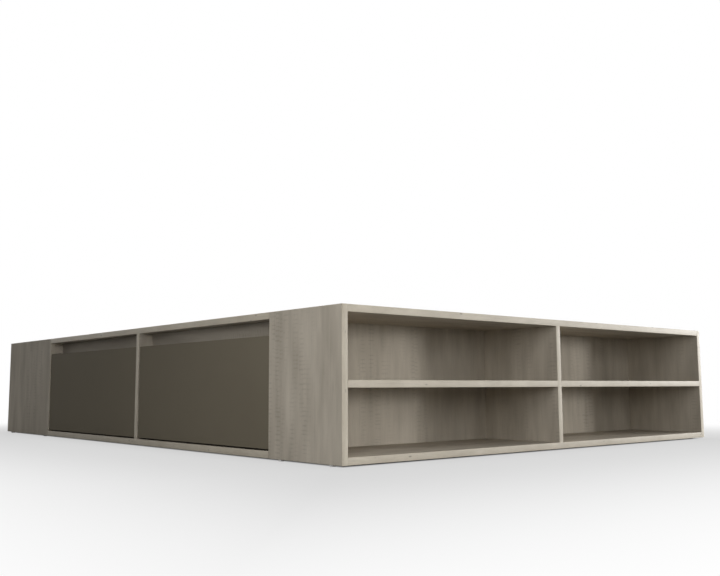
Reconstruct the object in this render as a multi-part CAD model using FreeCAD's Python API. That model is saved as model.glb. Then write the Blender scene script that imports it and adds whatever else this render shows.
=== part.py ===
import FreeCAD, Part
import math
import os

# Storage bed base, in millimetres. X runs across the width, Y from the foot end to the head end, Z up.
# The origin is on the floor under the middle of the base. Left is the -X side.

# Overall sizes
bed_width = 1460.0
carcass_height = 332.0
board = 16.0
foot_depth = 264.0
drawer_opening = 660.0
head_depth = 408.0

# Bands glued to the board edges that show
edge_band = 1.0

# Floor glides
glide_height = 4.0
glide_diameter = 14.0
glide_chamfer = 1.0
glide_inset = 40.0
glide_facets = 12

# Rails along the drawer bays
bottom_rail_width = 100.0
grip_rail_height = 70.0
finger_gap = 38.0
finger_space = 24.0

# Drawer fronts
front_thickness = 16.0
front_setback = 2.0
front_side_gap = 3.0
front_bottom_gap = 4.0

# Drawer boxes
drawer_wall = 12.0
drawer_wall_rise = 14.0
drawer_wall_top_gap = 30.0
drawer_rear_gap = 64.0
drawer_floor = 4.0
floor_rise = 12.0
groove_depth = 6.0
groove_clearance = 0.3

# Telescopic slides, three nested channels each
slide_height = 45.0
slide_space = 13.0
slide_gauge = 1.2
slide_clearance = 0.4
slide_front_gap = 2.0
slide_rear_gap = 38.0
slide_rise = 70.0
stop_tab_height = 16.0
access_hole_height = 12.0
access_hole_length = 40.0
access_hole_inset = 90.0

# Slats and the bearers under their ends
slat_width = 70.0
slat_thickness = 16.0
slat_pitch = 110.0
slat_end_gap = 2.0
slat_drop = 1.0
slat_edge_chamfer = 2.0
bearer_width = 28.0
bearer_height = 30.0

# Hidden fittings are drawn with flat facets
fitting_facets = 8
cam_facets = 12

# Dowels
dowel_diameter = 8.0
dowel_face_depth = 11.0
dowel_edge_depth = 19.0
dowel_fit = 0.1
dowel_end_gap = 1.0
dowel_inset = 20.0
dowel_depth_inset = 50.0
dowel_height_inset = 60.0

# Cam locks and their bolts
cam_diameter = 15.0
cam_height = 12.5
cam_reach = 34.0
cam_fit = 0.1
bolt_thread = 6.4
bolt_thread_depth = 11.0
bolt_shank = 5.4
bolt_fit = 0.2
cam_depth_inset = 56.0
cam_low_inset = 30.0
cam_high_inset = 120.0

# Places worked out from the sizes above
bed_length = foot_depth + 2 * drawer_opening + board + head_depth
half = bed_width / 2
inner = half - board
bottom = glide_height
floor_top = bottom + board
top = bottom + carcass_height
under_top = top - board
shelf_middle = (bottom + top) / 2
shelf_z = (shelf_middle - board / 2, shelf_middle + board / 2)
slat_top = top - slat_drop
slat_seat = slat_top - slat_thickness

foot_face = -bed_length / 2
bay_start = foot_face + foot_depth
back_face = bay_start - board
divider_y = (bay_start + drawer_opening, bay_start + drawer_opening + board)
bay_end = divider_y[1] + drawer_opening
partition_y = (bay_end, bay_end + board)
head_face = bed_length / 2
head_inner = head_face - board

# Boards end here where a band covers their edge
front_edge = foot_face + edge_band
bay_start_edge = bay_start - edge_band
bay_end_edge = bay_end + edge_band
head_edge = head_face - edge_band
side_edge = half - edge_band
top_edge = top - edge_band

BAYS = {"foot": (bay_start, divider_y[0]), "head": (divider_y[1], bay_end)}
HEAD_BAY = (partition_y[1], head_inner)

front_outer = half - front_setback
front_back = front_outer - front_thickness
grip_face = front_back - finger_space
grip_back = grip_face - board
grip_low = under_top - grip_rail_height
wall_low = floor_top + drawer_wall_rise
wall_high = grip_low - drawer_wall_top_gap
drawer_rear = board / 2 + drawer_rear_gap
slide_middle_z = wall_low + slide_rise
slide_front = front_back - slide_front_gap
slide_rear = drawer_rear + slide_rear_gap

SIDES = {"left": -1, "right": 1}
ALONG_X = FreeCAD.Vector(1, 0, 0)
ALONG_Y = FreeCAD.Vector(0, 1, 0)
ALONG_Z = FreeCAD.Vector(0, 0, 1)

nodes = {}
bores = {}


def add(name, *shapes):
    """Puts one or more solids into a named piece."""
    nodes.setdefault(name, []).extend(shapes)


def bore(names, tool):
    """Notes a hole that is cut out of each named piece at the end."""
    for name in names:
        bores.setdefault(name, []).append(tool)


def slab(x, y, z):
    """A square-edged board between three pairs of low and high places."""
    corner = FreeCAD.Vector(x[0], y[0], z[0])
    return Part.makeBox(x[1] - x[0], y[1] - y[0], z[1] - z[0], corner)


def across(side, near, far):
    """The X range between two distances from the middle plane, on one side of it."""
    return tuple(sorted((side * near, side * far)))


def prism(points, sweep):
    """A closed outline of straight edges carried along a vector."""
    corners = [FreeCAD.Vector(*point) for point in points]
    outline = Part.makePolygon(corners + corners[:1])
    return Part.Face(outline).extrude(sweep)


def rod(start, direction, length, diameter, facets=fitting_facets):
    """A faceted round bar from a point along a direction."""
    first = ALONG_X if abs(direction.z) > 0.5 else ALONG_Z
    second = direction.cross(first)
    turns = [2 * math.pi * (index + 0.5) / facets for index in range(facets)]
    rim = [start + (first * math.cos(turn) + second * math.sin(turn)) * (diameter / 2) for turn in turns]
    return prism(rim, direction * length)


def foot_unit():
    """The open shelf unit across the foot end."""
    for label, side in SIDES.items():
        side_y = (front_edge, bay_start_edge)
        add(f"foot_side_{label}", slab(across(side, inner, half), side_y, (bottom, top_edge)))
        add(f"foot_shelf_{label}", slab(across(side, board / 2, inner), (front_edge, back_face), shelf_z))
    add("foot_top", slab((-inner, inner), (front_edge, bay_start), (under_top, top)))
    add("foot_bottom", slab((-inner, inner), (front_edge, bay_start), (bottom, floor_top)))
    add("foot_divider", slab((-board / 2, board / 2), (front_edge, back_face), (floor_top, under_top)))
    add("foot_back", slab((-inner, inner), (back_face, bay_start), (floor_top, under_top)))


def side_rails():
    """Top, bottom and grip rails along both long sides."""
    for label, side in SIDES.items():
        outline = [(side_edge, bay_start), (grip_back, bay_start), (grip_back, head_inner),
                   (inner, head_inner), (inner, bay_end), (side_edge, bay_end)]
        corners = [(side * x, y, under_top) for x, y in outline]
        add(f"top_rail_{label}", prism(corners, ALONG_Z * board))
        low_x = across(side, half - bottom_rail_width, side_edge)
        add(f"bottom_rail_{label}", slab(low_x, (bay_start, bay_end), (bottom, floor_top)))
        rail_x = across(side, grip_back, grip_face)
        for bay in BAYS.values():
            add(f"grip_rails_{label}", slab(rail_x, bay, (grip_low, under_top)))
        add(f"head_rail_{label}", slab(rail_x, HEAD_BAY, (grip_low, under_top)))


def bay_walls():
    """The upright boards between and behind the drawers."""
    for label, side in SIDES.items():
        notch = half - bottom_rail_width
        outline = [(board / 2, bottom), (notch, bottom), (notch, floor_top),
                   (side_edge, floor_top), (side_edge, under_top), (board / 2, under_top)]
        corners = [(side * x, divider_y[0], z) for x, z in outline]
        add(f"bay_divider_{label}", prism(corners, ALONG_Y * board))
    spine_x = (-board / 2, board / 2)
    add("centre_spine", slab(spine_x, (bay_start, bay_end), (bottom, slat_seat)))
    add("head_spine", slab(spine_x, HEAD_BAY, (bottom, slat_seat)))
    add("head_partition", slab((-inner, inner), partition_y, (bottom, under_top)))


def head_section():
    """The closed box at the head end."""
    for label, side in SIDES.items():
        side_y = (bay_end_edge, head_edge)
        add(f"head_side_{label}", slab(across(side, inner, half), side_y, (bottom, top_edge)))
    add("head_panel", slab((-inner, inner), (head_inner, head_face), (bottom, top_edge)))


def edge_bands():
    """Thin bands on the board edges that show; a top band covers the ends of the upright ones."""
    bands = []
    front_y = (foot_face, front_edge)
    for side in SIDES.values():
        panel_x = across(side, inner, half)
        bay_sides = [(bay_start_edge, bay_start), (bay_end, bay_end_edge)]
        for upright_y in [front_y, *bay_sides, (head_edge, head_face)]:
            bands.append((panel_x, upright_y, (bottom, top_edge)))
        for panel_y in ((foot_face, bay_start), (bay_end, head_face)):
            bands.append((panel_x, panel_y, (top_edge, top)))
        bands.append((across(side, board / 2, inner), front_y, shelf_z))
        skin_x = across(side, side_edge, half)
        for rail_z in ((under_top, top), (bottom, floor_top)):
            bands.append((skin_x, (bay_start, bay_end), rail_z))
        bands.append((skin_x, divider_y, (floor_top, under_top)))
    for board_z in ((under_top, top), (bottom, floor_top)):
        bands.append(((-inner, inner), front_y, board_z))
    bands.append(((-board / 2, board / 2), front_y, (floor_top, under_top)))
    bands.append(((-inner, inner), (head_inner, head_face), (top_edge, top)))
    for x, y, z in bands:
        add("edge_bands", slab(x, y, z))


def slat(middle):
    """One cross slat with chamfered long edges, centred on a place along Y."""
    reach = grip_back - slat_end_gap
    wide = slat_width / 2
    narrow = wide - slat_edge_chamfer
    low = slat_seat + slat_edge_chamfer
    high = slat_top - slat_edge_chamfer
    outline = [(-narrow, slat_seat), (narrow, slat_seat), (wide, low), (wide, high),
               (narrow, slat_top), (-narrow, slat_top), (-wide, high), (-wide, low)]
    return prism([(-reach, middle + y, z) for y, z in outline], ALONG_X * (2 * reach))


def slat_bed():
    """Slats across the width, and the bearers that carry their ends."""
    for bay in list(BAYS.values()) + [HEAD_BAY]:
        for side in SIDES.values():
            bearer_x = across(side, grip_back - bearer_width, grip_back)
            add("slat_bearers", slab(bearer_x, bay, (slat_seat - bearer_height, slat_seat)))
        count = int((bay[1] - bay[0]) // slat_pitch)
        pitch = (bay[1] - bay[0]) / count
        for index in range(count):
            add("slats", slat(bay[0] + pitch * (index + 0.5)))


def drawer(label, side, bay_name):
    """One drawer: front, two walls, back and a floor held in grooves."""
    bay = BAYS[bay_name]
    name = f"{label}_{bay_name}_drawer"
    wall_y = {"foot": (bay[0] + slide_space, bay[0] + slide_space + drawer_wall),
              "head": (bay[1] - slide_space - drawer_wall, bay[1] - slide_space)}
    inside_y = (wall_y["foot"][1], wall_y["head"][0])
    back_inner = drawer_rear + drawer_wall
    floor_z = (wall_low + floor_rise, wall_low + floor_rise + drawer_floor)
    tongue = groove_depth - groove_clearance

    groove_y = (inside_y[0] - groove_depth, inside_y[1] + groove_depth)
    groove_x = across(side, drawer_rear, front_back + groove_depth)
    groove = slab(groove_x, groove_y, (floor_z[0], floor_z[1] + groove_clearance))
    back_groove_x = across(side, back_inner - groove_depth, back_inner)
    back_groove = slab(back_groove_x, groove_y, (floor_z[0], floor_z[1] + groove_clearance))

    front_y = (bay[0] + front_side_gap, bay[1] - front_side_gap)
    front_z = (floor_top + front_bottom_gap, under_top - finger_gap)
    add(f"{name}_front", slab(across(side, front_back, front_outer), front_y, front_z).cut(groove))
    for end, span in wall_y.items():
        wall = slab(across(side, drawer_rear, front_back), span, (wall_low, wall_high))
        add(f"{name}_wall_{end}", wall.cut(groove))
    back = slab(across(side, drawer_rear, back_inner), inside_y, (wall_low, wall_high))
    add(f"{name}_back", back.cut(back_groove))
    floor_x = across(side, back_inner - tongue, front_back + tongue)
    floor_y = (inside_y[0] - tongue, inside_y[1] + tongue)
    add(f"{name}_floor", slab(floor_x, floor_y, floor_z))


def channel(x, wall, facing, web, edge, height, turned_in=0.0):
    """A C-shaped channel along X. Web and edge are distances from the wall it hangs beside.

    The free edges of its two flanges may be turned in towards each other.
    """
    step = slide_gauge if edge > web else -slide_gauge
    high = height / 2
    low = high - slide_gauge
    lip_end = low - turned_in
    lip = [(edge, lip_end), (edge - step, lip_end), (edge - step, low)] if turned_in else [(edge, low)]
    upper = [(web, high), (edge, high)] + lip + [(web + step, low)]
    outline = upper + [(depth, -z) for depth, z in reversed(upper)]
    corners = [(x[0], wall + facing * depth, slide_middle_z + z) for depth, z in outline]
    return prism(corners, ALONG_X * (x[1] - x[0]))


def access_hole(x, wall, facing, depth):
    """A round-ended hole through a slide's web, which lies at a depth from the wall it hangs beside."""
    radius = access_hole_height / 2
    reach = access_hole_length / 2 - radius
    steps = fitting_facets // 2
    turns = [math.pi * step / steps for step in range(steps + 1)]
    half_round = [(reach + radius * math.sin(turn), radius * math.cos(turn)) for turn in turns]
    outline = half_round + [(-along, -z) for along, z in half_round]
    entry = wall + facing * depth
    corners = [(x + along, entry, slide_middle_z + z) for along, z in outline]
    return prism(corners, ALONG_Y * (facing * slide_gauge))


def slides(label, side, bay_name):
    """The pair of slides of one drawer: outer, middle and inner channels with a rear stop."""
    bay = BAYS[bay_name]
    outer_edge = slide_space - 2 * slide_gauge
    outer_lip = slide_clearance + slide_gauge
    middle_web = slide_gauge + slide_clearance
    middle_edge = outer_edge - slide_gauge - slide_clearance
    middle_height = slide_height - 2 * slide_gauge - 2 * slide_clearance
    inner_height = middle_height - 2 * slide_gauge - 2 * slide_clearance
    inner_edge = middle_web + slide_gauge + slide_clearance
    full_x = across(side, slide_rear, slide_front)
    free_x = across(side, slide_rear + slide_gauge + slide_clearance, slide_front)
    tab_x = across(side, slide_rear, slide_rear + slide_gauge)
    tab_z = (slide_middle_z - stop_tab_height / 2, slide_middle_z + stop_tab_height / 2)
    hole_places = (free_x[0] + access_hole_inset, free_x[1] - access_hole_inset)
    for wall, facing in ((bay[0], 1), (bay[1], -1)):
        outer = channel(full_x, wall, facing, 0.0, outer_edge, slide_height, outer_lip)
        tab_y = tuple(sorted((wall + facing * slide_gauge, wall + facing * outer_edge)))
        add("slide_outer_members", outer.fuse(slab(tab_x, tab_y, tab_z)))
        middle = channel(free_x, wall, facing, middle_web, middle_edge, middle_height)
        holes = [access_hole(x, wall, facing, middle_web) for x in hole_places]
        add(f"{label}_{bay_name}_slide_middles", middle.cut(holes))
        runner = channel(free_x, wall, facing, slide_space, inner_edge, inner_height)
        add(f"{label}_{bay_name}_drawer_runners", runner)


def glide(x, y):
    """One faceted round glide under the base, with a chamfered foot."""
    disc = rod(FreeCAD.Vector(x, y, 0), ALONG_Z, glide_height, glide_diameter, glide_facets)
    foot_edges = [edge for edge in disc.Edges if edge.BoundBox.ZMax < glide_height / 2]
    return disc.makeChamfer(glide_chamfer, foot_edges)


def floor_glides():
    """Glides under the uprights, the bottom rails and the spine."""
    divider_middle = sum(divider_y) / 2
    edge = half - board / 2
    rail = half - bottom_rail_width / 2
    for side in SIDES.values():
        for y in (foot_face + glide_inset, bay_start - glide_inset):
            add("floor_glides", glide(side * edge, y))
        for y in (bay_end + glide_inset, head_face - glide_inset):
            add("floor_glides", glide(side * edge, y))
        for y in (sum(BAYS["foot"]) / 2, divider_middle, sum(BAYS["head"]) / 2):
            add("floor_glides", glide(side * rail, y))
    for y in (foot_face + glide_inset, bay_start - glide_inset, divider_middle,
              bay_end - glide_inset, head_face - board / 2):
        add("floor_glides", glide(0.0, y))


def dowel(names, start, direction, before, after):
    """A dowel across a joint plane, and its holes in the boards it joins."""
    first = start - direction * before
    length = before + after
    add("dowels", rod(first, direction, length, dowel_diameter))
    hole_start = first - direction * dowel_end_gap
    hole = rod(hole_start, direction, length + 2 * dowel_end_gap, dowel_diameter + 2 * dowel_fit)
    bore(names, hole)


def foot_dowels():
    """Dowels of the shelf unit: upright to top and bottom, shelves to upright and sides."""
    for y in (foot_face + dowel_depth_inset, back_face - dowel_depth_inset):
        up = FreeCAD.Vector(0, y, under_top)
        dowel(["foot_top", "foot_divider"], up, -ALONG_Z, dowel_face_depth, dowel_edge_depth)
        down = FreeCAD.Vector(0, y, floor_top)
        dowel(["foot_bottom", "foot_divider"], down, ALONG_Z, dowel_face_depth, dowel_edge_depth)
        through = FreeCAD.Vector(-board / 2, y, shelf_middle)
        shelves = ["foot_shelf_left", "foot_divider", "foot_shelf_right"]
        dowel(shelves, through, ALONG_X, dowel_edge_depth, board + dowel_edge_depth)
        for label, side in SIDES.items():
            end = FreeCAD.Vector(side * inner, y, shelf_middle)
            names = [f"foot_side_{label}", f"foot_shelf_{label}"]
            dowel(names, end, ALONG_X * -side, dowel_face_depth, dowel_edge_depth)


def rail_dowels():
    """Dowels at the ends of the top, bottom and grip rails."""
    grip_x = (grip_back + grip_face) / 2
    grip_z = (grip_low + under_top) / 2
    top_x = (grip_back + inner) / 2
    low_places = (inner - dowel_inset, half - bottom_rail_width + dowel_inset)
    through = board + dowel_edge_depth
    for label, side in SIDES.items():
        start = FreeCAD.Vector(side * top_x, bay_start, top - board / 2)
        dowel(["foot_top", f"top_rail_{label}"], start, ALONG_Y, dowel_face_depth, dowel_edge_depth)
        for place in low_places:
            low = f"bottom_rail_{label}"
            start = FreeCAD.Vector(side * place, bay_start, bottom + board / 2)
            dowel(["foot_bottom", low], start, ALONG_Y, dowel_face_depth, dowel_edge_depth)
            end = FreeCAD.Vector(side * place, bay_end, bottom + board / 2)
            dowel(["head_partition", low], end, -ALONG_Y, dowel_face_depth, dowel_edge_depth)
        grips = f"grip_rails_{label}"
        head = f"head_rail_{label}"
        start = FreeCAD.Vector(side * grip_x, bay_start, grip_z)
        dowel(["foot_back", grips], start, ALONG_Y, dowel_face_depth, dowel_edge_depth)
        middle = FreeCAD.Vector(side * grip_x, divider_y[0], grip_z)
        dowel([grips, f"bay_divider_{label}"], middle, ALONG_Y, dowel_edge_depth, through)
        wall = FreeCAD.Vector(side * grip_x, bay_end, grip_z)
        dowel([grips, "head_partition", head], wall, ALONG_Y, dowel_edge_depth, through)
        end = FreeCAD.Vector(side * grip_x, head_inner, grip_z)
        dowel(["head_panel", head], end, -ALONG_Y, dowel_face_depth, dowel_edge_depth)


def spine_dowels():
    """Dowels along the spine and where the bay dividers meet it."""
    divider_middle = sum(divider_y) / 2
    through = board + dowel_edge_depth
    for z in (floor_top + dowel_height_inset, under_top - dowel_height_inset):
        start = FreeCAD.Vector(0, bay_start, z)
        dowel(["foot_back", "centre_spine"], start, ALONG_Y, dowel_face_depth, dowel_edge_depth)
        wall = FreeCAD.Vector(0, bay_end, z)
        names = ["centre_spine", "head_partition", "head_spine"]
        dowel(names, wall, ALONG_Y, dowel_edge_depth, through)
        end = FreeCAD.Vector(0, head_inner, z)
        dowel(["head_panel", "head_spine"], end, -ALONG_Y, dowel_face_depth, dowel_edge_depth)
        crossing = FreeCAD.Vector(-board / 2, divider_middle, z)
        names = ["bay_divider_left", "centre_spine", "bay_divider_right"]
        dowel(names, crossing, ALONG_X, dowel_edge_depth, through)


def cam_lock(end_board, face_board, joint, along, face):
    """A bolt in one board's face, drawn into the end of another board by a cam set in its surface."""
    thread_start = joint - along * bolt_thread_depth
    thread = rod(thread_start, along, bolt_thread_depth, bolt_thread)
    shank = rod(joint, along, cam_reach, bolt_shank)
    add("cam_bolts", thread.fuse(shank))
    hole_start = thread_start - along * dowel_end_gap
    hole_depth = bolt_thread_depth + dowel_end_gap
    bore([face_board], rod(hole_start, along, hole_depth, bolt_thread + 2 * bolt_fit))
    bore([end_board], rod(joint, along, cam_reach, bolt_shank + 2 * bolt_fit))

    surface = joint + along * cam_reach + face * (board / 2)
    bore([end_board], rod(surface, -face, cam_height, cam_diameter, cam_facets))
    disc = rod(surface, -face, cam_height, cam_diameter - 2 * cam_fit, cam_facets)
    slot_start = joint + along * (cam_reach - cam_diameter)
    add("cam_locks", disc.cut(rod(slot_start, along, cam_diameter + bolt_fit, bolt_shank + 2 * bolt_fit)))


def cam_locks():
    """Cam locks at the ends of every board that meets a side panel."""
    heights = (floor_top + cam_low_inset, under_top - cam_high_inset)
    for label, side in SIDES.items():
        inward = ALONG_X * -side
        foot_side = f"foot_side_{label}"
        head_side = f"head_side_{label}"
        for y in (foot_face + cam_depth_inset, bay_start - cam_depth_inset):
            above = FreeCAD.Vector(side * inner, y, top - board / 2)
            cam_lock("foot_top", foot_side, above, inward, ALONG_Z)
            below = FreeCAD.Vector(side * inner, y, bottom + board / 2)
            cam_lock("foot_bottom", foot_side, below, inward, -ALONG_Z)
        for z in heights:
            back = FreeCAD.Vector(side * inner, bay_start - board / 2, z)
            cam_lock("foot_back", foot_side, back, inward, ALONG_Y)
            wall = FreeCAD.Vector(side * inner, sum(partition_y) / 2, z)
            cam_lock("head_partition", head_side, wall, inward, ALONG_Y)
            head = FreeCAD.Vector(side * inner, head_face - board / 2, z)
            cam_lock("head_panel", head_side, head, inward, -ALONG_Y)


def export_parts():
    """Cuts the holes and writes each piece to its own file."""
    os.makedirs("parts", exist_ok=True)
    for name, solids in nodes.items():
        if name in bores:
            solids = [solid.cut(bores[name]) for solid in solids]
        whole = Part.makeCompound([solid for shape in solids for solid in shape.Solids])
        if not whole.isValid():
            raise ValueError(f"{name} is not a valid solid")
        whole.exportStep(f"parts/{name}.step")


foot_unit()
side_rails()
bay_walls()
head_section()
edge_bands()
slat_bed()
for side_label, side_sign in SIDES.items():
    for drawer_bay in BAYS:
        drawer(side_label, side_sign, drawer_bay)
        slides(side_label, side_sign, drawer_bay)
floor_glides()
foot_dowels()
rail_dowels()
spine_dowels()
cam_locks()
export_parts()
print(f"{len(nodes)} pieces, {bed_width:.0f} x {bed_length:.0f} x {top:.0f} mm")
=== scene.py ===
import math

import bmesh
import bpy
import numpy as np
from bpy.props import FloatProperty, FloatVectorProperty, IntProperty, PointerProperty
from mathutils import Matrix, Vector


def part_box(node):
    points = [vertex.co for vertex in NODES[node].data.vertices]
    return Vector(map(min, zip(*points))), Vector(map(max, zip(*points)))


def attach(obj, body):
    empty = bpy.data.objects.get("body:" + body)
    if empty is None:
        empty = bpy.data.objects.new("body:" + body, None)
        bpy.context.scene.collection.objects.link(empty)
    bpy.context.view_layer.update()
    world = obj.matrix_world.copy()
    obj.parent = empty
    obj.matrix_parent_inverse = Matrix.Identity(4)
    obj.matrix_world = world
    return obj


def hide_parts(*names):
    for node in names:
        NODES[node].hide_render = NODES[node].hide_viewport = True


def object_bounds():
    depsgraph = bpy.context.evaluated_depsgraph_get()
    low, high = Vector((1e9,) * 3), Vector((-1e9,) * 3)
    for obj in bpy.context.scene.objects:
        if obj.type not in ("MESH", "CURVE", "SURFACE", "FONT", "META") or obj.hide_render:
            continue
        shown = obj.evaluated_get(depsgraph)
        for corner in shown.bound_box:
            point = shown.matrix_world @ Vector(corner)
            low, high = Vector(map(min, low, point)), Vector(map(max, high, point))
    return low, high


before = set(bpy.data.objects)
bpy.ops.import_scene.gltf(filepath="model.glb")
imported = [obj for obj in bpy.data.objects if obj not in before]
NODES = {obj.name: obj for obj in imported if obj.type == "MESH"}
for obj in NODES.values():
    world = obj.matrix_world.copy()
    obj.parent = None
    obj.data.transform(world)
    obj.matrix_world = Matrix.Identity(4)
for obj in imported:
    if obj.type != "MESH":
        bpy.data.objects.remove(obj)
cad_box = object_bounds()

bl_info = {
    "name": "Storage bed base",
    "version": (1, 0, 0),
    "blender": (4, 5, 0),
    "location": "3D View > Sidebar > Bed base",
    "description": "Finishes, edge bands, small fittings and a studio stage for a storage bed base",
    "category": "Object",
}

MM = 0.001
BOX = {name: np.array([tuple(corner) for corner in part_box(name)]) for name in NODES}
SIDES = {"left": -1, "right": 1}
# Each drawer and the way it opens along X
DRAWERS = {f"{side}_{bay}_drawer": sign for side, sign in SIDES.items() for bay in ("foot", "head")}
AXES = np.eye(3)
X, Y, Z = AXES
WHITE = (1.0, 1.0, 1.0, 1.0)

# Which way the grain runs on each kind of board
BOARD_GRAIN = {
    "foot_side": "Z", "foot_divider": "Z", "foot_back": "Z", "head_side": "Z", "head_panel": "Z",
    "head_partition": "Z", "bay_divider": "Z", "foot_top": "X", "foot_bottom": "X", "foot_shelf": "X",
    "top_rail": "Y", "bottom_rail": "Y", "grip_rails": "Y", "head_rail": "Y", "centre_spine": "Y",
    "head_spine": "Y",
}
# Boards seen mostly in the shadowed finger gaps, whose oak print is darkened as painted shade, and by what
# factor
FINGER_GAP_PAINTED_SHADE = {"grip_rails": 0.78, "bay_divider": 0.80}
# Turns of a pattern that bring each axis to the pattern's own Z
GRAIN_TURN = {"X": (0.0, -math.pi / 2, 0.0), "Y": (math.pi / 2, 0.0, 0.0), "Z": (0.0, 0.0, 0.0)}
# How far each board's print is shifted from the last one's, so that no two boards share a figure
PRINT_SHIFT = (0.37, 0.73, 1.91)
# How much shorter the figure of the edge bands is than that of the boards
BAND_FIGURE = 3.0
# Points closer than this are one point
SAME_PLACE = 0.001 * MM
# Edges sharper than this stay crisp
CREASE = math.radians(35)
# Triangles that meet at less than this are one flat face
FLAT = math.radians(1)
# Real depth of each finish's texture, and its specular level
FINISHES = {
    "oak_board": (0.08 * MM, 0.03), "oak_band": (0.05 * MM, 0.3), "lacquer": (0.03 * MM, 0.012),
    "linen": (0.05 * MM, 0.5), "planed_wood": (0.10 * MM, 0.3), "zinc": (0.01 * MM, 0.5),
    "plastic": (0.02 * MM, 0.4),
}
# The floor as it is seen: its white share grows to EDGE_WHITE over the last UNDER_EDGE metres below the base,
# and to all of it FADE_REACH metres outside
UNDER_EDGE = 0.03
EDGE_WHITE = 0.6
FADE_REACH = 1.1
# Width of the camera's sensor in millimetres
SENSOR_WIDTH = 36.0
# Points at which the lamps are aimed
FOOT_END = (0.0, -1.0, 0.2)
FOOT_RIGHT = (0.6, -1.0, 0.2)
NEAR_CORNER = (-0.73, -0.9, 0.2)
NEAR_FRONT = (-0.73, -0.55, 0.15)
FAR_CORNER = (-0.73, 0.85, 0.2)
HEAD_END = (0.0, 1.0, 0.2)
MIDDLE = (0.0, 0.0, 0.0)
# Each lamp's place, the point that it is aimed at, its width, its height and, for a narrow one, its spread
LAMPS = {
    "key": ((7.2, -7.95, 0.85), FOOT_END, 1.4, 1.4),
    "rim": ((3.4, -1.9, 0.7), FOOT_RIGHT, 0.6, 0.6),
    "front": ((0.3, -4.6, 1.0), FOOT_END, 2.4, 1.2),
    "side": ((-1.9, -2.0, 1.05), NEAR_CORNER, 0.7, 0.7),
    "low": ((-2.3, -2.6, 0.6), NEAR_CORNER, 0.9, 0.6),
    "deck": ((0.0, 0.0, 3.2), MIDDLE, 1.2, 1.8, math.radians(46)),
    "back": ((1.6, 5.6, 1.9), HEAD_END, 2.0, 1.5),
    "far": ((-1.7, 2.2, 0.7), FAR_CORNER, 0.6, 0.6),
    "drawer": ((-1.5, -0.85, 0.45), NEAR_FRONT, 0.4, 0.4),
}


# Sizes and colours

def colour(label, note, value):
    """A colour property, in linear light."""
    return FloatVectorProperty(name=label, description=note, subtype="COLOR", min=0, max=1, default=value)


def length(label, note, value):
    """A length property, in metres."""
    return FloatProperty(name=label, description=note, unit="LENGTH", precision=5, default=value)


def power(label, note, value):
    """A lamp's power property, in watts."""
    return FloatProperty(name=label, description=note, unit="POWER", default=value)


def angle(label, note, degrees):
    """An angle property."""
    return FloatProperty(name=label, description=note, subtype="ANGLE", default=math.radians(degrees))


class BoardFinish(bpy.types.PropertyGroup):
    """Oak print of the boards and of their edge bands."""
    oak_light: colour("Oak light", "Pale wood between the grain lines", (0.632, 0.574, 0.482))
    oak_dark: colour("Oak dark", "Grain lines of the boards", (0.385, 0.341, 0.278))
    band_light: colour("Band light", "Pale wood of the edge bands", (0.623, 0.566, 0.463))
    band_dark: colour("Band dark", "Grain lines of the edge bands", (0.441, 0.389, 0.303))
    eased_edge: length("Eased edge", "Radius of the boards' edges", 0.5 * MM)
    band_round: length("Band rounding", "Radius of the edge bands' long edges", 0.8 * MM)


class DrawerFinish(bpy.types.PropertyGroup):
    """Taupe fronts and linen-print drawer boxes."""
    taupe_light: colour("Taupe light", "Brightest tone of the drawer fronts", (0.208, 0.183, 0.136))
    taupe_dark: colour("Taupe dark", "Darkest tone of the drawer fronts", (0.180, 0.156, 0.114))
    linen_light: colour("Linen light", "Pale threads of the drawer print", (0.600, 0.580, 0.540))
    linen_dark: colour("Linen dark", "Dark threads of the drawer print", (0.430, 0.410, 0.375))
    hardboard: colour("Hardboard", "Bare underside of the drawer floors", (0.230, 0.150, 0.085))
    cap_light: colour("Cap light", "Scuffed plastic of the cover caps", (0.560, 0.545, 0.510))
    cap_dark: colour("Cap dark", "Plain plastic of the cover caps", (0.470, 0.455, 0.420))
    front_edge: length("Front edge", "Radius of the drawer fronts' edges", 0.8 * MM)
    cap_diameter: length("Cap diameter", "Cover caps inside the drawers", 17 * MM)
    cap_inset: length("Cap inset", "From the drawer front to its cover caps", 34 * MM)
    fixing_inset: length("Fixing inset", "From a wall's upper and lower edge to its caps and screws", 26 * MM)


class DeckFinish(bpy.types.PropertyGroup):
    """Pine slats and bearers, beech dowels."""
    pine_light: colour("Pine light", "Early wood", (0.680, 0.510, 0.310))
    pine_dark: colour("Pine dark", "Late wood", (0.450, 0.280, 0.130))
    knot: colour("Knot", "Knots in the slats", (0.190, 0.085, 0.035))
    beech_light: colour("Beech light", "Pale wood of the dowels", (0.640, 0.440, 0.260))
    beech_dark: colour("Beech dark", "Dark wood of the dowels", (0.480, 0.290, 0.150))
    slat_edge: length("Slat edge", "Rounding of the slats", 1.0 * MM)


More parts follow.
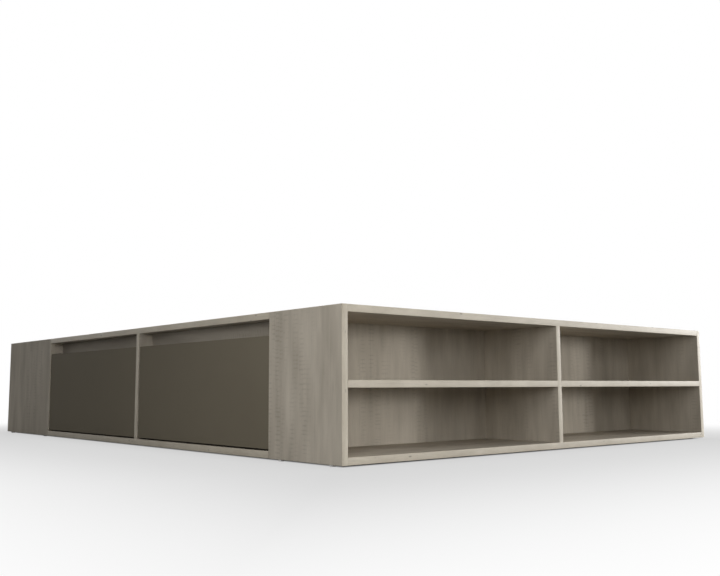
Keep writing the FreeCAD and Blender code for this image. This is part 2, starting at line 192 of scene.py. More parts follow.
class FittingFinish(bpy.types.PropertyGroup):
    """Slides, screws, cam locks, levers and glides."""
    zinc_light: colour("Zinc light", "Bright zinc plating", (0.640, 0.655, 0.665))
    zinc_dark: colour("Zinc dark", "Dull zinc plating", (0.400, 0.415, 0.430))
    lever_light: colour("Lever light", "Scuffed plastic of the release levers", (0.050, 0.050, 0.050))
    lever_dark: colour("Lever dark", "Plain plastic of the release levers", (0.022, 0.021, 0.020))
    glide_light: colour("Glide light", "Scuffed plastic of the floor glides", (0.820, 0.810, 0.790))
    glide_dark: colour("Glide dark", "Plain plastic of the floor glides", (0.760, 0.750, 0.730))
    slide_edge: length("Slide edge", "Rounding of the rolled steel", 0.3 * MM)
    bolt_edge: length("Bolt edge", "Rounding of the cam bolts", 0.15 * MM)
    slide_gauge: length("Slide gauge", "Thickness of the rolled steel", 1.2 * MM)
    screw_head: length("Screw head", "Diameter of the screw heads", 8 * MM)
    screw_inset: length("Screw inset", "From the end of a runner or bearer to its first screw", 45 * MM)
    row_screws: IntProperty(name="Screws in a row", description="Along each runner and bearer",
                            min=2, default=3)
    lever_length: length("Lever length", "Release levers in the runners", 64 * MM)
    lever_width: length("Lever width", "Release levers in the runners", 6 * MM)
    lever_thickness: length("Lever thickness", "Release levers in the runners", 1.6 * MM)


class StageSettings(bpy.types.PropertyGroup):
    """Camera, lamps and floor."""
    camera_place: FloatVectorProperty(name="Camera place", description="Where the camera stands",
                                      subtype="TRANSLATION", unit="LENGTH", default=(-1.849, -2.3758, 0.1616))
    camera_turn: angle("Camera turn", "From +Y towards +X", 40.4346)
    camera_tilt: angle("Camera tilt", "Upwards from level", 6.637)
    camera_roll: angle("Camera roll", "About the line of sight", -0.2529)
    lens: FloatProperty(name="Lens", description="Focal length", unit="CAMERA", default=42.919)
    key_power: power("Key lamp", "Far, low lamp to the right of the foot end", 345.0)
    rim_power: power("Rim lamp", "Near lamp that skims the foot end from the right", 76.0)
    front_power: power("Front lamp", "Wide lamp before the foot end", 13.5)
    side_power: power("Side lamp", "Small lamp beside the near corner", 8.6)
    low_power: power("Low lamp", "Lamp further out beside the near corner", 12.2)
    deck_power: power("Deck lamp", "Lamp over the slats", 10.0)
    back_power: power("Back lamp", "Lamp behind the head end", 130.0)
    far_power: power("Far lamp", "Small lamp beside the far corner", 3.4)
    drawer_power: power("Drawer lamp", "Small low lamp beside the nearest drawer front", 1.0)
    ambient: FloatProperty(name="Ambient", description="Strength of the even light from all round",
                           default=0.035)
    floor_colour: colour("Floor", "Plain pale floor", (0.30, 0.30, 0.30))
    floor_reach: length("Floor reach", "From the middle of the floor to its edges", 30.0)


# Shader nodes

def add_node(tree, kind, inputs=None, **settings):
    """Adds a node, sets its settings, and links or sets each named input."""
    made = tree.nodes.new(kind)
    for key, value in settings.items():
        setattr(made, key, value)
    for key, value in (inputs or {}).items():
        if isinstance(value, bpy.types.NodeSocket):
            tree.links.new(value, made.inputs[key])
        else:
            made.inputs[key].default_value = value
    return made


def vector_sum(tree, operation, *terms):
    """One sum on vectors."""
    made = add_node(tree, "ShaderNodeVectorMath", dict(enumerate(terms)), operation=operation)
    return made.outputs["Vector"]


def noise(tree, vector, density, detail=2.0):
    """Soft noise from 0 to 1 with its own number of features per metre along each axis."""
    inputs = {"Vector": vector_sum(tree, "MULTIPLY", vector, density), "Scale": 1.0, "Detail": detail}
    return add_node(tree, "ShaderNodeTexNoise", inputs).outputs["Fac"]


def cells(tree, vector, density):
    """Distance to the middle of the nearest of many scattered cells, and a number of the cell's own."""
    inputs = {"Vector": vector_sum(tree, "MULTIPLY", vector, density), "Scale": 1.0}
    made = add_node(tree, "ShaderNodeTexVoronoi", inputs)
    own = add_node(tree, "ShaderNodeSeparateColor", {0: made.outputs["Color"]})
    return made.outputs["Distance"], own.outputs[0]


def ramp(tree, value, low, high, start=0.0, end=1.0):
    """Goes smoothly from start to end while the value goes from low to high."""
    inputs = {"Value": value, "From Min": low, "From Max": high, "To Min": start, "To Max": end}
    return add_node(tree, "ShaderNodeMapRange", inputs, interpolation_type="SMOOTHSTEP").outputs["Result"]


def calc(tree, operation, *terms):
    """One sum on values."""
    return add_node(tree, "ShaderNodeMath", dict(enumerate(terms)), operation=operation).outputs["Value"]


def weighted(tree, offset, *terms):
    """An offset plus each value times its weight."""
    total = offset
    for value, weight in terms:
        total = calc(tree, "MULTIPLY_ADD", value, weight, total)
    return total


def about_half(tree, *terms):
    """Each noise times its weight, shifted so that the mean is one half."""
    return weighted(tree, 0.5 - 0.5 * sum(weight for value, weight in terms), *terms)


def product(tree, *terms):
    """All the values multiplied together."""
    total = terms[0]
    for value in terms[1:]:
        total = calc(tree, "MULTIPLY", total, value)
    return total


def mix(tree, factor, first, second, blend="MIX"):
    """Goes from the first colour to the second; the node's colour sockets are known by number alone."""
    inputs = {0: factor, 6: first, 7: second}
    return add_node(tree, "ShaderNodeMix", inputs, data_type="RGBA", blend_type=blend).outputs[2]


def darken(tree, base, mask, depth):
    """Multiplies a colour by one minus a share of the mask."""
    shade = weighted(tree, 1.0, (mask, -depth))
    return mix(tree, 1.0, base, shade, "MULTIPLY")


def opaque(value):
    """A colour with full alpha, as colour sockets take it."""
    return (*value, 1.0)


# Patterns, each a node group that puts out a colour, a roughness and a height; the grain runs along Z

def new_pattern(name, *extra_inputs):
    """An empty pattern group and its input sockets."""
    tree = bpy.data.node_groups.new(name, "ShaderNodeTree")
    for label, kind in (("Vector", "Vector"), ("Light", "Color"), ("Dark", "Color"), *extra_inputs):
        tree.interface.new_socket(label, in_out="INPUT", socket_type=f"NodeSocket{kind}")
    for label, kind in (("Color", "Color"), ("Roughness", "Float"), ("Height", "Float")):
        tree.interface.new_socket(label, in_out="OUTPUT", socket_type=f"NodeSocket{kind}")
    return tree, tree.nodes.new("NodeGroupInput").outputs


def close_pattern(tree, base, rough, height):
    """Links a pattern's results to its output sockets."""
    leave = tree.nodes.new("NodeGroupOutput").inputs
    for label, value in (("Color", base), ("Roughness", rough), ("Height", height)):
        tree.links.new(value, leave[label])
    return tree


def sawn_oak(name):
    """Oak print: streaks, lines and pores along Z, columns of saw marks across them, and dark flecks."""
    tree, enter = new_pattern(name, ("Flecks", "Float"), ("Marks", "Float"))
    still = enter["Vector"]
    along = add_node(tree, "ShaderNodeSeparateXYZ", {0: still}).outputs["Z"]
    drift = noise(tree, still, (3.0, 3.0, 1.2), 1.0)
    place = vector_sum(tree, "MULTIPLY_ADD", drift, (0.03, 0.03, 0.0), still)
    bands = noise(tree, place, (24.0, 24.0, 5.0))
    streaks = noise(tree, place, (85.0, 85.0, 10.0), 3.0)
    fibres = noise(tree, place, (480.0, 480.0, 14.0))
    lines = ramp(tree, noise(tree, place, (240.0, 240.0, 1.3), 0.0), 0.68, 0.80)
    pores = ramp(tree, noise(tree, place, (1100.0, 1100.0, 30.0), 1.0), 0.62, 0.74)
    patches = ramp(tree, noise(tree, still, (9.0, 9.0, 1.0), 1.0), 0.42, 0.58)
    aside, column = cells(tree, still, (48.0, 48.0, 4.0))
    waver = noise(tree, still, (0.5, 0.5, 25.0), 1.0)
    rise = weighted(tree, 0.0, (along, 620.0), (column, 60.0), (waver, 14.0))
    rows = ramp(tree, calc(tree, "SINE", rise), 0.0, 1.0)
    short = ramp(tree, aside, 0.25, 0.7, 1.0, 0.0)
    kept = ramp(tree, noise(tree, still, (45.0, 45.0, 70.0), 1.0), 0.33, 0.55)
    marks = product(tree, patches, rows, short, kept, enter["Marks"])
    distance, own = cells(tree, still, (70.0, 70.0, 9.0))
    dots = ramp(tree, distance, 0.04, 0.18, 1.0, 0.0)
    few = ramp(tree, own, 0.84, 0.86)
    flecks = product(tree, dots, few, enter["Flecks"])
    tone = about_half(tree, (bands, 1.2), (streaks, 0.35), (fibres, 0.25))
    base = mix(tree, tone, enter["Dark"], enter["Light"])
    base = darken(tree, base, lines, 0.07)
    base = darken(tree, base, pores, 0.12)
    base = darken(tree, base, marks, 0.13)
    base = darken(tree, base, flecks, 0.45)
    rough = weighted(tree, 0.46, (fibres, 0.18), (pores, 0.12))
    height = weighted(tree, 0.5, (fibres, 0.5), (pores, -0.5), (marks, -0.4))
    return close_pattern(tree, base, rough, height)


def matt_lacquer(name):
    """Matt lacquer: a cloudy tone and a fine pearl texture."""
    tree, enter = new_pattern(name)
    clouds = noise(tree, enter["Vector"], (5.0, 5.0, 4.0), 3.0)
    pearl = noise(tree, enter["Vector"], (650.0, 650.0, 650.0), 1.0)
    tone = about_half(tree, (clouds, 1.1), (pearl, 0.4))
    base = mix(tree, tone, enter["Dark"], enter["Light"])
    rough = weighted(tree, 0.40, (clouds, 0.10), (pearl, 0.10))
    return close_pattern(tree, base, rough, pearl)


def linen_print(name):
    """Linen print: thin threads along each axis, laid over each other."""
    tree, enter = new_pattern(name)
    across, along = 1000.0, 26.0
    runs = ((along, across, across), (across, along, across), (across, across, along))
    threads = [noise(tree, enter["Vector"], density, 1.0) for density in runs]
    slubs = noise(tree, enter["Vector"], (60.0, 60.0, 60.0))
    weave = about_half(tree, *((thread, 0.7) for thread in threads), (slubs, 0.4))
    base = mix(tree, weave, enter["Dark"], enter["Light"])
    rough = weighted(tree, 0.42, (weave, 0.15))
    return close_pattern(tree, base, rough, weave)


def planed_wood(name):
    """Planed wood: growth rings about Z that wander along it, fine fibres and a few knots."""
    tree, enter = new_pattern(name, ("Knot", "Color"))
    bend = noise(tree, enter["Vector"], (5.0, 5.0, 0.8))
    across = vector_sum(tree, "MULTIPLY", enter["Vector"], (1.0, 1.0, 0.0))
    radius = add_node(tree, "ShaderNodeVectorMath", {0: across}, operation="LENGTH").outputs["Value"]
    rings = calc(tree, "FRACT", weighted(tree, 0.0, (radius, 140.0), (bend, 14.0)))
    late = ramp(tree, rings, 0.35, 0.95)
    fibres = noise(tree, enter["Vector"], (600.0, 600.0, 8.0))
    distance, own = cells(tree, enter["Vector"], (9.0, 9.0, 4.5))
    knots = product(tree, ramp(tree, distance, 0.05, 0.10, 1.0, 0.0), ramp(tree, own, 0.3, 0.4))
    grain = weighted(tree, -0.15, (late, 0.55), (fibres, 0.5))
    base = mix(tree, grain, enter["Light"], enter["Dark"])
    base = mix(tree, knots, base, enter["Knot"])
    rough = weighted(tree, 0.48, (fibres, 0.2))
    height = weighted(tree, 0.0, (fibres, 0.5), (late, 0.3))
    return close_pattern(tree, base, rough, height)


def zinc_plating(name):
    """Zinc plating: rolling lines along Z and cloudy bright and dull patches."""
    tree, enter = new_pattern(name)
    lines = noise(tree, enter["Vector"], (900.0, 900.0, 6.0))
    clouds = noise(tree, enter["Vector"], (45.0, 45.0, 30.0), 3.0)
    tone = about_half(tree, (lines, 0.6), (clouds, 0.7))
    base = mix(tree, tone, enter["Dark"], enter["Light"])
    rough = weighted(tree, 0.16, (lines, 0.16), (clouds, 0.16))
    return close_pattern(tree, base, rough, lines)


def moulded_plastic(name):
    """Moulded plastic: fine spark texture with a little scuffing."""
    tree, enter = new_pattern(name)
    spark = noise(tree, enter["Vector"], (1500.0, 1500.0, 1500.0), 1.0)
    scuffs = ramp(tree, noise(tree, enter["Vector"], (80.0, 300.0, 300.0)), 0.55, 0.75)
    base = mix(tree, scuffs, enter["Dark"], enter["Light"])
    rough = weighted(tree, 0.38, (spark, 0.2), (scuffs, 0.15))
    return close_pattern(tree, base, rough, spark)


# Materials

def new_material(name):
    """A node material, its tree and its Principled shader."""
    material = bpy.data.materials.new(name)
    material.use_nodes = True
    return material, material.node_tree, material.node_tree.nodes["Principled BSDF"]


def object_place(tree, grain="Z", print_number=0):
    """The place on the piece, turned so that the grain runs along Z and shifted to a print of its own."""
    place = add_node(tree, "ShaderNodeTexCoord").outputs["Object"]
    shift = tuple(step * print_number for step in PRINT_SHIFT)
    inputs = {"Vector": place, "Location": shift, "Rotation": GRAIN_TURN[grain]}
    return add_node(tree, "ShaderNodeMapping", inputs).outputs["Vector"]


def pattern_node(tree, pattern, place, light, dark, **extra_inputs):
    """Places a pattern group in a material with its own colours; the group is built on its first use."""
    name = pattern.__name__
    group = bpy.data.node_groups.get(name) or pattern(name)
    inputs = {"Vector": place, "Light": opaque(light), "Dark": opaque(dark), **extra_inputs}
    return add_node(tree, "ShaderNodeGroup", inputs, node_tree=group)


def surface(tree, shader, pattern, finish_name):
    """Feeds the shader from a pattern, with the depth and the specular level of the finish."""
    relief, gloss = FINISHES[finish_name]
    tree.links.new(pattern.outputs["Color"], shader.inputs["Base Color"])
    tree.links.new(pattern.outputs["Roughness"], shader.inputs["Roughness"])
    bump = add_node(tree, "ShaderNodeBump", {"Height": pattern.outputs["Height"], "Distance": relief})
    tree.links.new(bump.outputs["Normal"], shader.inputs["Normal"])
    shader.inputs["Specular IOR Level"].default_value = gloss


def finished(name, finish_name, pattern, colours, grain="Z", print_number=0, **extra_inputs):
    """A material with one pattern in its two colours, along the grain and with a print of its own."""
    material, tree, shader = new_material(name)
    place = object_place(tree, grain, print_number)
    surface(tree, shader, pattern_node(tree, pattern, place, *colours, **extra_inputs), finish_name)
    return material


def board_material(name, kind, print_number):
    """Oak print of one board, with the grain of its kind and, for boards in the finger gaps, painted shade.
    """
    finish = bpy.context.scene.bed_boards
    # Painted shade: boards in the finger gaps get a darker print for the shadow that falls there
    shade = FINGER_GAP_PAINTED_SHADE.get(kind, 1.0)
    colours = (finish.oak_light * shade, finish.oak_dark * shade)
    grain = BOARD_GRAIN[kind]
    return finished(f"oak_{name}", "oak_board", sawn_oak, colours, grain, print_number, Flecks=0.5, Marks=1.0)


def band_material():
    """Oak print of the edge bands, along each band's own length."""
    finish = bpy.context.scene.bed_boards
    material, tree, shader = new_material("oak_edge_band")
    along = add_node(tree, "ShaderNodeUVMap", uv_map="band").outputs["UV"]
    inputs = {"Vector": along, "Rotation": GRAIN_TURN["X"], "Scale": (BAND_FIGURE, 1.0, 1.0)}
    place = add_node(tree, "ShaderNodeMapping", inputs).outputs["Vector"]
    oak = pattern_node(tree, sawn_oak, place, finish.band_light, finish.band_dark, Flecks=1.0, Marks=0.0)
    surface(tree, shader, oak, "oak_band")
    return material


def taupe_material(print_number):
    """Matt taupe of one drawer front."""
    finish = bpy.context.scene.bed_drawers
    colours = (finish.taupe_light, finish.taupe_dark)
    return finished(f"taupe_{print_number}", "lacquer", matt_lacquer, colours, "Z", print_number)


def linen_material():
    """Warm grey linen print of the drawer boxes."""
    finish = bpy.context.scene.bed_drawers
    return finished("linen_drawer_board", "linen", linen_print, (finish.linen_light, finish.linen_dark))


def hardboard_material():
    """Drawer floor: linen print above, bare brown fibres below."""
    finish = bpy.context.scene.bed_drawers
    material, tree, shader = new_material("drawer_hardboard")
    place = object_place(tree)
    linen = pattern_node(tree, linen_print, place, finish.linen_light, finish.linen_dark)
    surface(tree, shader, linen, "linen")
    fibres = noise(tree, place, (420.0, 420.0, 420.0), 3.0)
    bare = darken(tree, opaque(finish.hardboard), fibres, 0.6)
    normal = add_node(tree, "ShaderNodeTexCoord").outputs["Normal"]
    upward = ramp(tree, add_node(tree, "ShaderNodeSeparateXYZ", {0: normal}).outputs["Z"], 0.4, 0.6)
    tree.links.new(mix(tree, upward, bare, linen.outputs["Color"]), shader.inputs["Base Color"])
    return material


def own_figures(tree, place, lows):
    """Shifts the print from one slat to the next: a slat's number is its place along Y in mean pitches."""
    numbers = np.arange(len(lows))
    pitch = np.ptp(lows) / numbers[-1]
    start = (lows - pitch * numbers).min() - MM
    along = add_node(tree, "ShaderNodeTexCoord").outputs["Object"]
    along = add_node(tree, "ShaderNodeSeparateXYZ", {0: along}).outputs["Y"]
    number = calc(tree, "FLOOR", calc(tree, "MULTIPLY_ADD", along, 1 / pitch, -start / pitch))
    return vector_sum(tree, "MULTIPLY_ADD", number, PRINT_SHIFT, place)


def wood_material(name, grain, light, dark, lows=None):
    """Planed pine or beech with its grain along the piece; slats, by their low sides, differ in figure."""
    material, tree, shader = new_material(name)
    place = object_place(tree, grain, 1)
    if lows is not None:
        place = own_figures(tree, place, lows)
    knot = opaque(bpy.context.scene.bed_deck.knot)
    wood = pattern_node(tree, planed_wood, place, light, dark, Knot=knot)
    surface(tree, shader, wood, "planed_wood")
    return material


def zinc_material(name, grain="Z"):
    """Zinc-plated steel."""
    finish = bpy.context.scene.bed_fittings
    material = finished(name, "zinc", zinc_plating, (finish.zinc_light, finish.zinc_dark), grain)
    material.node_tree.nodes["Principled BSDF"].inputs["Metallic"].default_value = 1.0
    return material


def plastic_material(name, light, dark):
    """Moulded plastic of the glides, levers and caps."""
    return finished(name, "plastic", moulded_plastic, (light, dark))


# The frame's own pieces

def dress(name, material, edge):
    """Gives a frame piece its material, and eases its edges with modifiers that leave its mesh alone."""
    piece = NODES[name]
    piece.data.materials.clear()
    piece.data.materials.append(material)
    weld = piece.modifiers.new("joined_corners", "WELD")
    weld.merge_threshold = SAME_PLACE
    flat = piece.modifiers.new("whole_faces", "DECIMATE")
    flat.decimate_type = "DISSOLVE"
    flat.angle_limit = FLAT
    ease = piece.modifiers.new("eased_edges", "BEVEL")
    ease.width = edge
    ease.segments = 2
    ease.limit_method = "ANGLE"
    ease.angle_limit = CREASE
    ease.harden_normals = True
    ease.loop_slide = False


def solids_of(name):
    """Low and high corner of each separate solid of a frame piece, in order along X, then Y, then Z.

    Corners at one place share a number. Each number takes the lowest number that a face joins it to, again
    and again until none changes, so that a solid's corners end with one number.
    """
    mesh = NODES[name].data
    corners = np.empty(len(mesh.vertices) * 3)
    mesh.vertices.foreach_get("co", corners)
    corners = np.round(corners.reshape(-1, 3) / SAME_PLACE) * SAME_PLACE
    faces = np.empty(len(mesh.loops), int)
    mesh.loops.foreach_get("vertex_index", faces)
    places, number = np.unique(corners, axis=0, return_inverse=True)
    faces = number.ravel()[faces].reshape(-1, 3)
    label = np.arange(len(places))
    while np.ptp(label[faces], axis=1).any():
        np.minimum.at(label, faces, label[faces].min(1, keepdims=True))
    return [(places[label == one].min(0), places[label == one].max(0)) for one in np.unique(label)]


# Surfaces worked out on grids

def ring_quads(rows, columns):
    """Quads between neighbouring rows of points; each row closes into a ring."""
    near = np.arange(columns)
    far = np.roll(near, -1)
    row = np.arange(rows - 1)[:, None] * columns
    after = row + columns
    return np.stack([row + near, row + far, after + far, after + near], -1).reshape(-1, 4)


def new_piece(name, points, quads, body, slot, material, uv=None):
    """Makes one object of points and quads, merges its seams and poles and sets it on its body."""
    mesh = bpy.data.meshes.new(name)
    mesh.from_pydata(points.reshape(-1, 3).tolist(), [], quads.tolist())
    if uv is not None:
        layer = mesh.uv_layers.new(name="band")
        layer.data.foreach_set("uv", uv.reshape(-1, 2)[quads.ravel()].astype(np.float32).ravel())
    shape = bmesh.new()
    shape.from_mesh(mesh)
    bmesh.ops.remove_doubles(shape, verts=shape.verts, dist=SAME_PLACE)
    bmesh.ops.recalc_face_normals(shape, faces=shape.faces)
    shape.to_mesh(mesh)
    shape.free()
    mesh.shade_smooth()
    mesh.set_sharp_from_angle(angle=CREASE)
    mesh.materials.append(material)
    piece = bpy.data.objects.new(name, mesh)
    bpy.context.scene.collection.objects.link(piece)
    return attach(piece, body)


def facing(way):
    """A turn that brings a shape's Z to a way along X, Y or Z; for a way along Y, its Y comes to X."""
    side = np.roll(way, 1)
    return np.stack([side, np.cross(way, side), way], 1)


def copies(shape, places):
    """A shape set at each place, with its points turned so that its Z goes the way given."""
    points, quads = shape
    turns = np.array([facing(way) for origin, way in places])
    origins = np.array([origin for origin, way in places])
    moved = np.einsum("kij,nj->kni", turns, points.reshape(-1, 3)) + origins[:, None]
    steps = np.arange(len(places))[:, None, None] * (points.size // 3)
    return moved, (quads[None] + steps).reshape(-1, 4)


def lathe(body, face, cross=0.0, depth=0.0, segments=24):
    """A profile of (radius, height) points turned about Z: body from the base's middle to the rim, then face.

    Point (i, j) lies at radius r_i and angle 2 pi j / n. The face can have a cross sunk in it: its height
    drops by the depth where the smaller of |x| and |y| is under a seventh of the cross and the larger under
    half of it, with sloping sides a tenth of the cross wide.
    """
    radius, height = np.array([*body, *face]).T
    turn = 2 * math.pi * np.arange(segments) / segments
    x = radius[:, None] * np.cos(turn)
    y = radius[:, None] * np.sin(turn)
    z = np.repeat(height[:, None], segments, 1)
    if cross:
        narrow = np.minimum(np.abs(x), np.abs(y))
        wide = np.maximum(np.abs(x), np.abs(y))
        arm, reach, slope = 1 / 7, 1 / 2, 1 / 10
        arms = np.clip((arm - narrow / cross) / slope + 0.5, 0, 1)
        sunk = arms * np.clip((reach - wide / cross) / slope + 0.5, 0, 1)
        sunk[:len(body)] = 0
        z = z - depth * sunk
    return np.stack([x, y, z], -1), ring_quads(len(radius), segments)


def dome(radius, low, high, steps=10):
    """Profile of a dome from its rim to its middle: an ellipse's quarter, from the low to the high height."""
    turn = np.linspace(0, math.pi / 2, steps)
    return np.stack([radius * np.cos(turn), low + (high - low) * np.sin(turn)], 1)


def screw_head(diameter, rim_height, height, depth):
    """A screw's head: a short rim, a low dome and a cross."""
    rim = diameter / 2
    cross = 0.6 * diameter
    return lathe([(0.0, 0.0), (rim, 0.0)], dome(rim, rim_height, height), cross, depth)


def pan_head(diameter):
    """A screw's pan head."""
    return screw_head(diameter, rim_height=0.09 * diameter, height=0.25 * diameter, depth=0.12 * diameter)


def low_head(diameter):
    """The head of a countersunk screw, of which only a thin cap stands out of the wood."""
    return screw_head(diameter, rim_height=0.2 * MM, height=0.85 * MM, depth=0.5 * MM)


def cover_cap(diameter):
    """A plastic cap: a thin rim and a low dome."""
    rim = diameter / 2
    return lathe([(0.0, 0.0), (rim, 0.0)], dome(rim, low=0.4 * MM, high=1.3 * MM, steps=6))


def cam_disc(diameter, height):
    """A cam lock with its face up: a drum with a bevelled rim and a cross, just below the board's surface."""
    rim = diameter / 2
    below = 0.15 * MM
    bevel = 0.5 * MM
    body = [(0.0, -height), (rim, -height), (rim, -below - bevel)]
    face = [(radius, -below) for radius in np.linspace(rim - bevel, 0, 12)]
    return lathe(body, face, cross=0.62 * diameter, depth=2.2 * MM)


def glide_disc(diameter, height):
    """A glide with its foot up: a drum with a rounded foot and a slight hollow in its middle."""
    rim = diameter / 2
    rounding = 1.4 * MM
    floor = height - 0.6 * MM
    turn = np.linspace(0, math.pi / 2, 6)
    foot = np.stack([rim - rounding * (1 - np.cos(turn)), height - rounding * (1 - np.sin(turn))], 1)
    hollow = [(0.45 * rim, height), (0.38 * rim, floor), (0.0, floor)]
    return lathe([(0.0, 0.0), (rim, 0.0)], [*foot, *hollow])


def lever_tongue(run, width, thickness):
    """A release lever along Y, lying where Z is 0: a flat oval section carried along a shallow S.

    The middle line leaves its straight run by half the width times the sine of one turn over the length. The
    section is a superellipse, drawn in at both ends by the square root of one minus the sixth power.
    """
    rows, columns = 21, 16
    along = np.linspace(-1, 1, rows)[:, None]
    turn = 2 * math.pi * np.arange(columns) / columns
    wide = np.sign(np.cos(turn)) * np.abs(np.cos(turn)) ** 0.5
    thick = np.sign(np.sin(turn)) * np.abs(np.sin(turn)) ** 0.5
    drawn = np.sqrt(1 - along ** 6)
    x = 0.5 * width * (np.sin(math.pi * along) + drawn * wide)
    y = np.repeat(0.5 * run * along, columns, 1)
    z = 0.5 * thickness * (1 + drawn * thick)
    return np.stack([x, y, z], -1), ring_quads(rows, columns)


def strip(start, along, across, out, run, width, thickness, rounding, steps=4):
    """A flat strip with rounded long edges: a profile carried along a straight run and closed at both ends.

    The profile goes round the strip: up one side, an arc of the rounding to the face, across the face,
    an arc down, and back along the glued side. Returns points, quads and (run, width) for each point.
    """
    arc = np.linspace(0, math.pi / 2, steps + 1)
    left = np.stack([rounding * (1 - np.cos(arc)), thickness - rounding * (1 - np.sin(arc))], 1)
    right = np.stack([width - left[::-1, 0], left[::-1, 1]], 1)
    profile = np.concatenate([[[0.0, 0.0]], left, right, [[width, 0.0]]])
    middle = np.repeat(profile.mean(0)[None], len(profile), 0)
    rows = np.stack([middle, profile, profile, middle])
    runs = np.array([0.0, 0.0, run, run])
    points = start + runs[:, None, None] * along + rows[..., :1] * across + rows[..., 1:] * out
    uv = np.stack(np.broadcast_arrays(runs[:, None], profile[:, 0]), -1)
    return points, ring_quads(len(rows), len(profile)), uv


# Edge bands: the boards on both sides, and the sides of each that bands cover; "out" is away from the middle
BANDS = {
    "foot_side": ("-Y", "+Y", "+Z"), "head_side": ("-Y", "+Y", "+Z"), "foot_shelf": ("-Y",),
    "top_rail": ("out",), "bottom_rail": ("out",), "bay_divider": ("out",),
}
SINGLE_BANDS = {"foot_top": "-Y", "foot_bottom": "-Y", "foot_divider": "-Y", "head_panel": "+Z"}
# Boards whose bands are as long as another piece
BAND_SPAN = {"top_rail": "bottom_rail_{side}", "bay_divider": "foot_divider"}
# Each band's print is shifted from the last one's by this much along and across it
BAND_SHIFT = np.array([1.7, 0.31])


def band_box(board, side_sign, face, length_of):
    """Low and high corner of the space that one edge band fills, the axis it faces and which way."""
    low, high = BOX[board].copy()
    if face == "out":
        face = "+X" if side_sign > 0 else "-X"
    axis = "XYZ".index(face[1])
    if length_of:
        run = int(np.argmax(np.ptp(BOX[length_of], axis=0)))
        low[run], high[run] = BOX[length_of][:, run]
    thick = BOX["foot_top"][0][1] - cad_box[0].y
    if face == "+Z" and board != "head_panel":
        low[1] -= thick
        high[1] += thick
    if face[0] == "+":
        low[axis], high[axis] = high[axis], high[axis] + thick
        return low, high, axis, 1
    low[axis], high[axis] = low[axis] - thick, low[axis]
    return low, high, axis, -1


def one_band(low, high, axis, sign, rounding):
    """The strip that fills a band's space, with its face outwards."""
    size = high - low
    others = [index for index in range(3) if index != axis]
    run = max(others, key=lambda index: size[index])
    wide = min(others, key=lambda index: size[index])
    start = low.copy()
    if sign < 0:
        start[axis] = high[axis]
    return strip(start, AXES[run], AXES[wide], sign * AXES[axis], size[run], size[wide], size[axis], rounding)


class BED_OT_boards(bpy.types.Operator):
    """Gives every board its oak print, with the grain the way the board is cut"""
    bl_idname = "bed.boards"
    bl_label = "Oak boards"

    def execute(self, context):
        edge = context.scene.bed_boards.eased_edge
        for number, name in enumerate(sorted(NODES)):
            kinds = [kind for kind in BOARD_GRAIN if name.startswith(kind)]
            if kinds:
                dress(name, board_material(name, kinds[0], number), edge)
        return {"FINISHED"}


class BED_OT_edge_bands(bpy.types.Operator):
    """Lays a rounded band over every board edge that shows"""
    bl_idname = "bed.edge_bands"
    bl_label = "Edge bands"

    def execute(self, context):
        rows = [(f"{board}_{side}", sign, face, BAND_SPAN.get(board, "").format(side=side))
                for side, sign in SIDES.items() for board, faces in BANDS.items() for face in faces]
        rows += [(board, 1, face, "") for board, face in SINGLE_BANDS.items()]
        points, quads, uvs, made = [], [], [], 0
        for number, row in enumerate(rows):
            shape, faces, uv = one_band(*band_box(*row), context.scene.bed_boards.band_round)
            points.append(shape.reshape(-1, 3))
            quads.append(faces + made)
            uvs.append(uv.reshape(-1, 2) + BAND_SHIFT * number)
            made += len(points[-1])
        piece = new_piece("oak_edge_bands", np.concatenate(points), np.concatenate(quads), "carcass",
                          "edge_band", band_material(), np.concatenate(uvs))
        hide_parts("edge_bands")
        return {"FINISHED"}


class BED_OT_drawers(bpy.types.Operator):
    """Taupe fronts, linen-print boxes and hardboard floors"""
    bl_idname = "bed.drawers"
    bl_label = "Drawers"

    def execute(self, context):
        finish = context.scene.bed_drawers
        edge = context.scene.bed_boards.eased_edge
        linen = linen_material()
        hardboard = hardboard_material()
        for number, drawer in enumerate(DRAWERS):
            dress(f"{drawer}_front", taupe_material(number), finish.front_edge)
            for part in ("wall_foot", "wall_head", "back"):
                dress(f"{drawer}_{part}", linen, edge)
            dress(f"{drawer}_floor", hardboard, edge)
        return {"FINISHED"}


class BED_OT_drawer_fixings(bpy.types.Operator):
    """Cover caps inside each drawer near its front, and screws through its walls into its back"""
    bl_idname = "bed.drawer_fixings"
    bl_label = "Drawer fixings"

    def execute(self, context):
        finish = context.scene.bed_drawers
        plastic = plastic_material("cap_plastic", finish.cap_light, finish.cap_dark)
        zinc = zinc_material("zinc_drawer_screws")
        cap = cover_cap(finish.cap_diameter)
        screw = low_head(context.scene.bed_fittings.screw_head)
        for drawer, sign in DRAWERS.items():
            cap_x = sign * (np.abs(BOX[f"{drawer}_front"][:, 0]).min() - finish.cap_inset)
            back_x = BOX[f"{drawer}_back"][:, 0].mean()
            caps, screws = [], []
            for wall, inward in (("wall_foot", Y), ("wall_head", -Y)):
                low, high = BOX[f"{drawer}_{wall}"]
                outside, inside = (low[1], high[1])[::int(inward[1])]
                for z in (low[2] + finish.fixing_inset, high[2] - finish.fixing_inset):
                    caps.append(((cap_x, inside, z), inward))
                    screws.append(((back_x, outside, z), -inward))
            new_piece(f"{drawer}_cover_caps", *copies(cap, caps), drawer, "glide_plastic", plastic)
            new_piece(f"{drawer}_back_screws", *copies(screw, screws), drawer, "zinc_steel", zinc)
        return {"FINISHED"}


